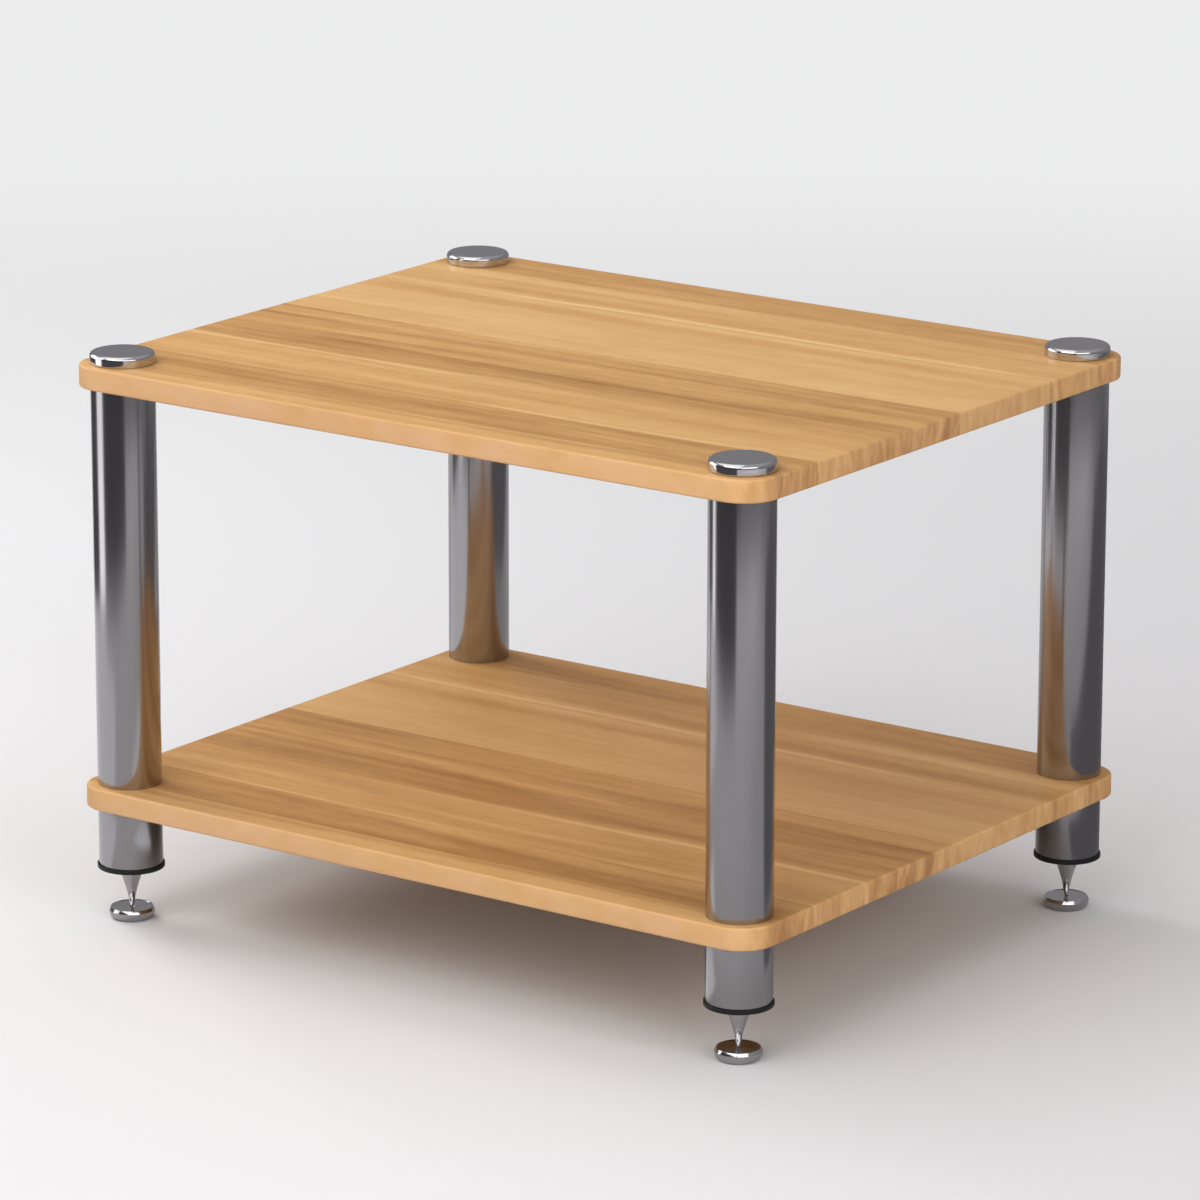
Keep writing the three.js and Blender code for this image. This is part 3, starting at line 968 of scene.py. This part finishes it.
def eased(points, radii):
    """Rounds the corners of a closed or open outline, each by its own radius."""
    outline = []
    for i, (point, radius) in enumerate(zip(points, radii)):
        here = Vector(point)
        if radius == 0:
            outline.append(tuple(here))
            continue
        before = (Vector(points[i - 1]) - here).normalized()
        after = (Vector(points[(i + 1) % len(points)]) - here).normalized()
        corner = before.angle(after)
        back = radius / math.tan(corner / 2)
        middle = here + (before + after).normalized() * radius / math.sin(corner / 2)
        start = here + before * back - middle
        sweep = math.pi - corner
        turn = -1 if before.x * after.y - before.y * after.x > 0 else 1
        for step in range(EASE_STEPS + 1):
            spun = start.copy()
            spun.rotate(Matrix.Rotation(turn * sweep * step / EASE_STEPS, 2))
            outline.append(tuple(middle + spun))
    return outline


def turned(name, outline, axis, material, closed=False, steps=TURN_STEPS):
    """A mesh turned from an outline. An open outline starts and ends on the axis."""
    points = []
    rings = []
    for radius, height in outline:
        on_axis = radius < WELD
        count = 1 if on_axis else steps
        rings.append([len(points) + i for i in range(count)])
        for i in range(count):
            angle = 2 * math.pi * i / steps
            x = axis.x + radius * math.cos(angle)
            y = axis.y + radius * math.sin(angle)
            points.append((x, y, height))
    faces = []
    for lower, upper in zip(rings, rings[1:] + rings[:1] if closed else rings[1:]):
        for i in range(steps):
            j = (i + 1) % steps
            face = [ring[k % len(ring)] for ring, k in ((lower, i), (lower, j), (upper, j), (upper, i))]
            faces.append(list(dict.fromkeys(face)))
    mesh = bpy.data.meshes.new(name)
    mesh.from_pydata(points, [], faces)
    mesh.materials.append(material)
    smooth(mesh)
    return mesh


def turn_piece(node, outline, slot, closed=False):
    """A turned piece in a node's place."""
    mesh = turned(node, outline, axis_of(node), FINISHES[slot], closed)
    return settle(show(f"{node}_fine", mesh), node)


print("a turn has", TURN_STEPS, "steps")

# %% [markdown]
# Tubes and inserts
#
# Each column is two lengths of drawn tube with the lower board between them. The sawn ends are
# deburred, which leaves a thin dark line where tube and board meet. Inside sit the threaded inserts
# that the studs pull on.

# %% Tubes
TUBE_WALL = 0.0015
TUBE_DEBURR = 0.0003
INSERT_BORE_RADIUS = 0.0043
INSERT_CHAMFER = 0.0006


def ring_outline(low, high, radius, bore, ease):
    """The closed outline of a ring, up the outside and down the bore."""
    corners = [(bore, low.z), (radius, low.z), (radius, high.z), (bore, high.z)]
    return eased(corners, [ease] * len(corners))


def make_ring(node, bore, ease, slot):
    low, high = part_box(node)
    outline = ring_outline(low, high, (high.x - low.x) / 2, bore, ease)
    return turn_piece(node, outline, slot, closed=True)


for corner in CORNERS:
    for tube in ("upper_tube", "lower_tube"):
        node = f"{tube}_{corner}"
        low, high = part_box(node)
        bore = (high.x - low.x) / 2 - TUBE_WALL
        tube_piece = make_ring(node, bore, TUBE_DEBURR, "polished_tube")
    for insert in ("upper_tube_top_insert", "upper_tube_bottom_insert", "lower_tube_insert"):
        make_ring(f"{insert}_{corner}", INSERT_BORE_RADIUS, INSERT_CHAMFER, "plain_steel")
print("a tube has", len(tube_piece.data.polygons), "faces")

# %% [markdown]
# Caps
#
# The cap is a polished disc whose large rounded shoulder catches the light as a bright crescent.
# It carries a blind hole below, where its stud is screwed in.

# %% Caps
CAP_SHOULDER = 0.0035
CAP_FOOT = 0.0006
CAP_HOLE_RADIUS = 0.0043
CAP_HOLE_DEPTH = 0.0058
SHOULDER_STEPS = 14


def arc(centre, radius, start, end, steps, flatten=1):
    """Points on an arc in an outline, from one angle to the other. Zero points away from the axis."""
    points = []
    for i in range(steps + 1):
        angle = start + (end - start) * i / steps
        x = centre[0] + radius * math.cos(angle)
        points.append((x, centre[1] + flatten * radius * math.sin(angle)))
    return points


def make_cap(node):
    low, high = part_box(node)
    radius = (high.x - low.x) / 2
    inner = radius - CAP_SHOULDER
    outline = [
        (0, low.z + CAP_HOLE_DEPTH),
        (CAP_HOLE_RADIUS, low.z + CAP_HOLE_DEPTH),
        (CAP_HOLE_RADIUS, low.z),
        (radius - CAP_FOOT, low.z),
        (radius, low.z + CAP_FOOT),
        *arc((inner, high.z - CAP_SHOULDER), CAP_SHOULDER, 0, math.pi / 2, SHOULDER_STEPS),
        (inner - CAP_FOOT, high.z),
        (0, high.z),
    ]
    return turn_piece(node, outline, "polished_fitting")


for corner in CORNERS:
    cap = make_cap(f"top_cap_{corner}")
print("a cap has", len(cap.data.polygons), "faces")

# %% [markdown]
# End plugs and bushes
#
# A moulded plug closes the foot of each column. Its flange shows as a thin black ring under the
# tube, and its tapered spigot holds the steel bush that the spike screws into.

# %% Plugs
PLUG_FLANGE = 0.0035
PLUG_FLANGE_EDGE = 0.0008
PLUG_SPIGOT_RADIUS = 0.0236
PLUG_TAPER = 0.0015
PLUG_SEAT_RADIUS = 0.0083
BUSH_RADIUS = 0.008
BUSH_BORE_RADIUS = 0.0053
BUSH_COLLAR = 0.0025
BUSH_EASE = 0.0004


def make_plug(node):
    low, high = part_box(node)
    radius = (high.x - low.x) / 2
    corners = [
        (PLUG_SEAT_RADIUS, low.z),
        (radius, low.z),
        (radius, low.z + PLUG_FLANGE),
        (PLUG_SPIGOT_RADIUS, low.z + PLUG_FLANGE),
        (PLUG_SPIGOT_RADIUS, high.z - PLUG_TAPER),
        (PLUG_SPIGOT_RADIUS - PLUG_TAPER, high.z),
        (PLUG_SEAT_RADIUS, high.z),
    ]
    outline = eased(corners, [0, PLUG_FLANGE_EDGE, PLUG_FLANGE_EDGE / 4, 0, 0, 0, 0])
    return turn_piece(node, outline, "black_plastic", closed=True)


def make_bush(node):
    low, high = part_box(node)
    corners = [
        (BUSH_BORE_RADIUS, low.z),
        (BUSH_RADIUS, low.z),
        (BUSH_RADIUS, high.z - BUSH_COLLAR),
        ((high.x - low.x) / 2, high.z - BUSH_COLLAR),
        ((high.x - low.x) / 2, high.z),
        (BUSH_BORE_RADIUS, high.z),
    ]
    outline = eased(corners, [BUSH_EASE, BUSH_EASE, 0, BUSH_EASE, BUSH_EASE, BUSH_EASE])
    return turn_piece(node, outline, "plain_steel", closed=True)


for corner in CORNERS:
    make_plug(f"end_plug_{corner}")
    make_bush(f"spike_bush_{corner}")
print("plugs and bushes are in the columns' feet")

# %% [markdown]
# Screw threads
#
# The spikes and studs have real threads, which show when the rack is raised. A thread is a ridge
# that climbs round a core. The tree draws the helix as a spiral whose radius stays the same, sweeps
# a narrow trapezoid along it, and lets the ridge run out at both ends, as a cut thread does.

# %% Threads
THREAD_STEPS = 28
THREAD_FOOT_SHARE = 0.86
THREAD_CREST_SHARE = 0.16
THREAD_SINK = 0.00005
RUN_OUT_RATE = 2
RUN_OUT_LEAST = 0.05


def thread_rule():
    number = "NodeSocketFloat"
    nodes, size = rule("screw thread", {
        "Pitch": number, "Length": number, "Core Radius": number, "Depth": number,
        "Foot": "NodeSocketVector", "Material": "NodeSocketMaterial",
    })
    turns = size["Length"] / size["Pitch"]
    radius = size["Core Radius"] - THREAD_SINK
    crest = size["Depth"] + THREAD_SINK
    half_foot = size["Pitch"] * (THREAD_FOOT_SHARE / 2)
    half_crest = size["Pitch"] * (THREAD_CREST_SHARE / 2)
    helix = nodes.add("GeometryNodeCurveSpiral", None, {
        "Resolution": THREAD_STEPS, "Rotations": turns, "Start Radius": radius, "End Radius": radius,
        "Height": size["Length"]})
    helix = nodes.add("GeometryNodeSetCurveNormal", {"mode": "Z_UP"}, {"Curve": helix})
    ridge = nodes.add("GeometryNodeCurvePrimitiveQuadrilateral", {"mode": "POINTS"}, {
        "Point 1": nodes.vector(0, 0 - half_foot, 0),
        "Point 2": nodes.vector(crest, 0 - half_crest, 0),
        "Point 3": nodes.vector(crest, half_crest, 0),
        "Point 4": nodes.vector(0, half_foot, 0)})
    share = nodes.add("GeometryNodeSplineParameter")
    to_end = nodes.maths("MINIMUM", share, 1 - share) * turns * RUN_OUT_RATE
    run_out = nodes.maths("MINIMUM", nodes.maths("MAXIMUM", to_end, RUN_OUT_LEAST), 1)
    swept = nodes.add("GeometryNodeCurveToMesh", None, {
        "Curve": helix, "Profile Curve": ridge, "Scale": run_out, "Fill Caps": True})
    placed = nodes.add("GeometryNodeTransform", None, {"Geometry": swept, "Translation": size["Foot"]})
    joined = nodes.add("GeometryNodeJoinGeometry", None, {"Geometry": [size["Geometry"], placed]})
    return end_rule(nodes, joined, size["Material"])


def threaded(node, outline, slot, core, pitch, depth, foot, top, steps=TURN_STEPS):
    """A turned piece in a node's place, with a thread that climbs from the foot to the top."""
    axis = axis_of(node)
    mesh = turned(node, outline, axis, FINISHES[slot], steps=steps)
    piece = grow(f"{node}_fine", mesh, thread_tree, {
        "Pitch": pitch, "Length": top - foot, "Core Radius": core, "Depth": depth,
        "Foot": Vector((axis.x, axis.y, foot)), "Material": FINISHES[slot],
    })
    return settle(piece, node)


thread_tree = thread_rule()
print("the thread tree has", len(thread_tree.nodes), "nodes")

# %% [markdown]
# Spikes
#
# The spike is turned from one bar: a shoulder under the plug, a flare that sweeps in to a slim
# pointed nose, and above them a relief groove and the threaded shank. The sweep is a curve with
# three points, as in the model, cut into more steps.

# %% Spikes
SPIKE_LENGTH = 0.034
SPIKE_LAND = 0.0015
SPIKE_TIP_RADIUS = 0.0006
SPIKE_NOSE_RADIUS = 0.0022
SPIKE_NOSE_HEIGHT = 0.005
SPIKE_WAIST_RADIUS = 0.0028
SPIKE_WAIST_HEIGHT = 0.0135
SPIKE_RELIEF_RADIUS = 0.0042
SPIKE_RELIEF = 0.002
SPIKE_THREAD_RADIUS = 0.005
SPIKE_PITCH = 0.0015
SPIKE_THREAD_DEPTH = 0.00085
SPIKE_CHAMFER = 0.001
SPIKE_EDGE = 0.0003
FLARE_STEPS = 28


def flare(nose, waist, land):
    """Points on the curve that leaves the nose towards the waist and ends at the shoulder's land."""
    points = []
    for i in range(FLARE_STEPS + 1):
        t = i / FLARE_STEPS
        shares = ((1 - t) ** 2, 2 * t * (1 - t), t ** 2)
        places = zip(nose, waist, land)
        points.append(tuple(sum(s * value for s, value in zip(shares, row)) for row in places))
    return points


def make_spike(node):
    low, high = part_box(node)
    radius = (high.x - low.x) / 2
    shoulder = low.z + SPIKE_LENGTH
    core = SPIKE_THREAD_RADIUS - SPIKE_THREAD_DEPTH
    outline = [
        (0, low.z),
        (SPIKE_TIP_RADIUS, low.z),
        *flare((SPIKE_NOSE_RADIUS, low.z + SPIKE_NOSE_HEIGHT),
               (SPIKE_WAIST_RADIUS, low.z + SPIKE_WAIST_HEIGHT), (radius, shoulder - SPIKE_LAND)),
        (radius, shoulder - SPIKE_EDGE),
        (radius - SPIKE_EDGE, shoulder),
        (SPIKE_RELIEF_RADIUS, shoulder),
        (SPIKE_RELIEF_RADIUS, shoulder + SPIKE_RELIEF),
        (core, shoulder + SPIKE_RELIEF),
        (core, high.z - SPIKE_CHAMFER),
        (core - SPIKE_CHAMFER, high.z),
        (0, high.z),
    ]
    foot = shoulder + SPIKE_RELIEF + SPIKE_PITCH / 2
    return threaded(node, outline, "polished_fitting", core, SPIKE_PITCH, SPIKE_THREAD_DEPTH,
                    foot, high.z - SPIKE_CHAMFER)


for corner in CORNERS:
    spike = make_spike(f"spike_{corner}")
print("a spike has", len(spike.data.polygons), "faces")

# %% [markdown]
# Studs
#
# The studs are plain threaded rod. They are hidden in the tubes, but they carry the whole rack, so
# they get the same thread from the same tree at their own pitch.

# %% Studs
STUD_PITCH = 0.00125
STUD_THREAD_DEPTH = 0.0006
STUD_CHAMFER = 0.0008


def make_stud(node):
    low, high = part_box(node)
    core = (high.x - low.x) / 2 - STUD_THREAD_DEPTH
    outline = [
        (0, low.z),
        (core - STUD_CHAMFER, low.z),
        (core, low.z + STUD_CHAMFER),
        (core, high.z - STUD_CHAMFER),
        (core - STUD_CHAMFER, high.z),
        (0, high.z),
    ]
    return threaded(node, outline, "plain_steel", core, STUD_PITCH, STUD_THREAD_DEPTH,
                    low.z + STUD_CHAMFER, high.z - STUD_CHAMFER, THREAD_STEPS)


for corner in CORNERS:
    make_stud(f"cap_stud_{corner}")
    stud = make_stud(f"joining_stud_{corner}")
print("a joining stud has", len(stud.data.polygons), "faces")

# %% [markdown]
# Floor pads
#
# The pad spreads the spike's load on the floor. Seen from the side its belly draws in below the
# rim. On top it has a bevel, a narrow lip, a shallow dish and a dimple for the point, and below it
# a recess with a rubber liner.

# %% Pads
PAD_RIM_HEIGHT = 0.007
PAD_BEVEL = 0.0014
PAD_BASE_RADIUS = 0.0145
PAD_LIP = 0.0008
PAD_DISH = 0.0005
PAD_DIMPLE_RADIUS = 0.0023
PAD_DIMPLE = 0.001
PAD_DIMPLE_FLOOR = 0.0012
PAD_EASE = 0.0003
LINER_RADIUS = 0.013
LINER_THICKNESS = 0.001
LINER_GAP = 0.0003
BELLY_STEPS = 12


def make_pad(node):
    low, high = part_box(node)
    rim = (high.x - low.x) / 2
    top = rim - PAD_BEVEL
    dish = high.z - PAD_DISH
    dimple = dish - PAD_DIMPLE
    bulge = rim - PAD_BASE_RADIUS
    belly = arc((PAD_BASE_RADIUS, PAD_RIM_HEIGHT), bulge, -math.pi / 2, 0, BELLY_STEPS,
                (PAD_RIM_HEIGHT - low.z) / bulge)
    crown = [
        (rim, PAD_RIM_HEIGHT - PAD_EASE),
        (rim, PAD_RIM_HEIGHT),
        (top, high.z),
        (top - PAD_LIP, high.z),
        (top - PAD_LIP - PAD_DISH, dish),
        (PAD_DIMPLE_RADIUS, dish),
        (PAD_DIMPLE_FLOOR, dimple),
        (0, dimple),
    ]
    crown = eased(crown, [0, PAD_EASE, PAD_EASE, PAD_EASE, PAD_EASE, PAD_EASE, PAD_EASE, 0])
    outline = [
        (0, LINER_THICKNESS),
        (LINER_RADIUS + LINER_GAP, LINER_THICKNESS),
        (LINER_RADIUS + LINER_GAP, low.z),
        *belly[:-1],
        *crown[1:],
    ]
    return turn_piece(node, outline, "polished_fitting")


def make_liner(node):
    low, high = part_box(node)
    radius = (high.x - low.x) / 2
    corners = [(0, low.z), (radius, low.z), (radius, high.z), (0, high.z)]
    return turn_piece(node, eased(corners, [0, PAD_EASE, 0, 0]), "liner_rubber")


for corner in CORNERS:
    pad = make_pad(f"floor_pad_{corner}")
    make_liner(f"pad_liner_{corner}")
print("a pad has", len(pad.data.polygons), "faces")

# %% [markdown]
# Size
#
# The finer pieces must fill the same box as the model.

# %% Sizes
fine_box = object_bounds()
growth = (fine_box[1] - fine_box[0]) - (model_box[1] - model_box[0])
print("grown by", [round(side, 5) for side in growth])
